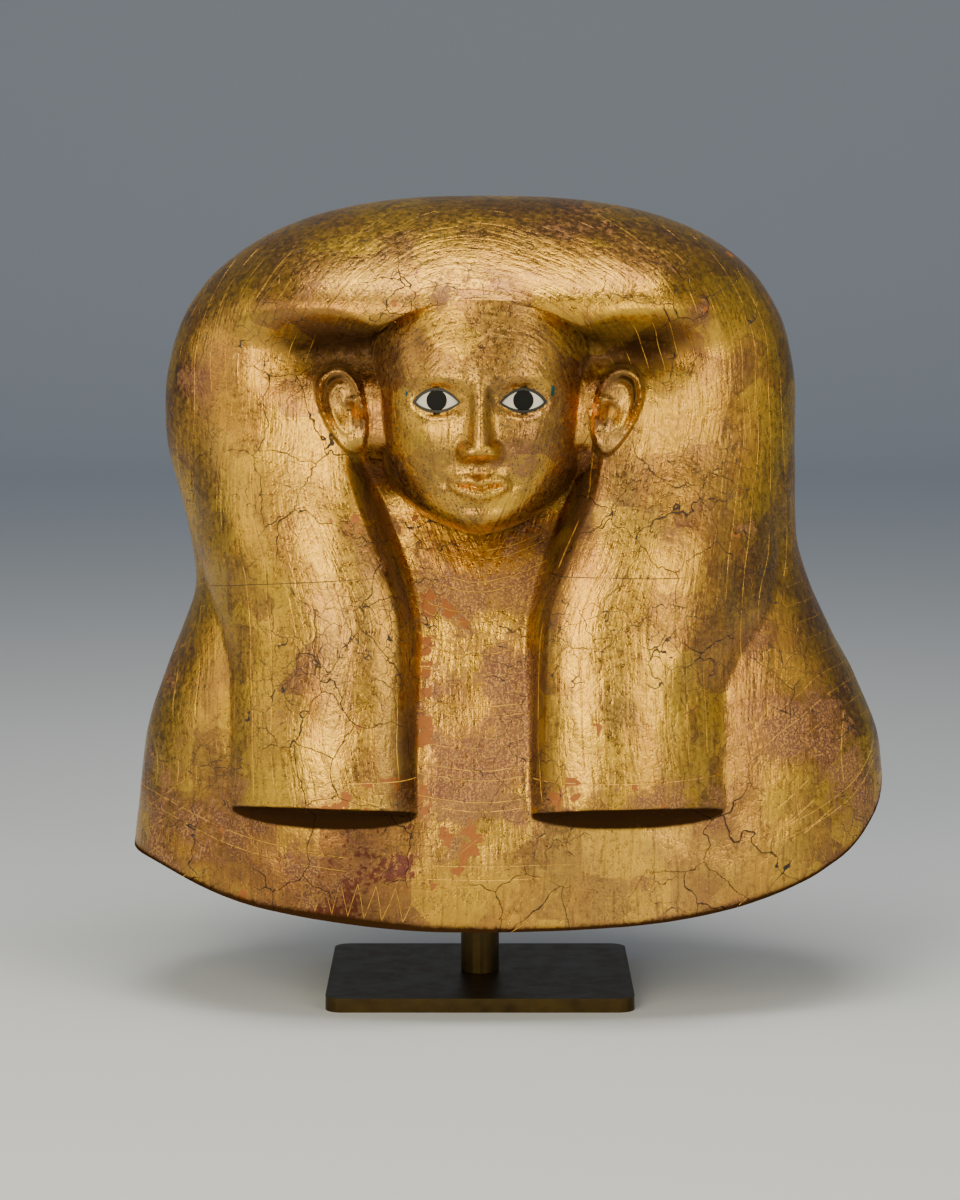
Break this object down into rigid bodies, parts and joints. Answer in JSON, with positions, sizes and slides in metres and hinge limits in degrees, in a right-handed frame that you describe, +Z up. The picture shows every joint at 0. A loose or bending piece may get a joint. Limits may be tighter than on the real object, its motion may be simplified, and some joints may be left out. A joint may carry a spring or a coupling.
{
  "type": "mummy mask",
  "caption": "gilded Egyptian mummy mask of cartonnage, a hollow helmet with a smooth wig, lappets, bib and inlaid eyes, hung by its crown on a round brass post with a plate foot",
  "frame": {"origin": "the middle of the plate foot's underside, on the post's axis", "axes": "+Z up along the post, -Y the way the face looks, +X towards the viewer's right (the wearer's left)"},
  "size_m": [0.642, 0.3774, 0.68],
  "materials": {
    "gilded_cartonnage": "satin",
    "ebony": "satin",
    "alabaster": "satin",
    "obsidian": "gloss",
    "patinated_brass": "satin",
    "felt": "matte"
  },
  "bodies": {
    "root": {"mask_shell": "gilded_cartonnage", "eye_rim_left": "ebony", "eye_rim_right": "ebony", "eye_white_left": "alabaster", "eye_white_right": "alabaster", "eye_iris_left": "obsidian", "eye_iris_right": "obsidian", "stand_post": "patinated_brass", "stand_foot": "patinated_brass", "stand_head": "felt"}
  },
  "joints": []
}
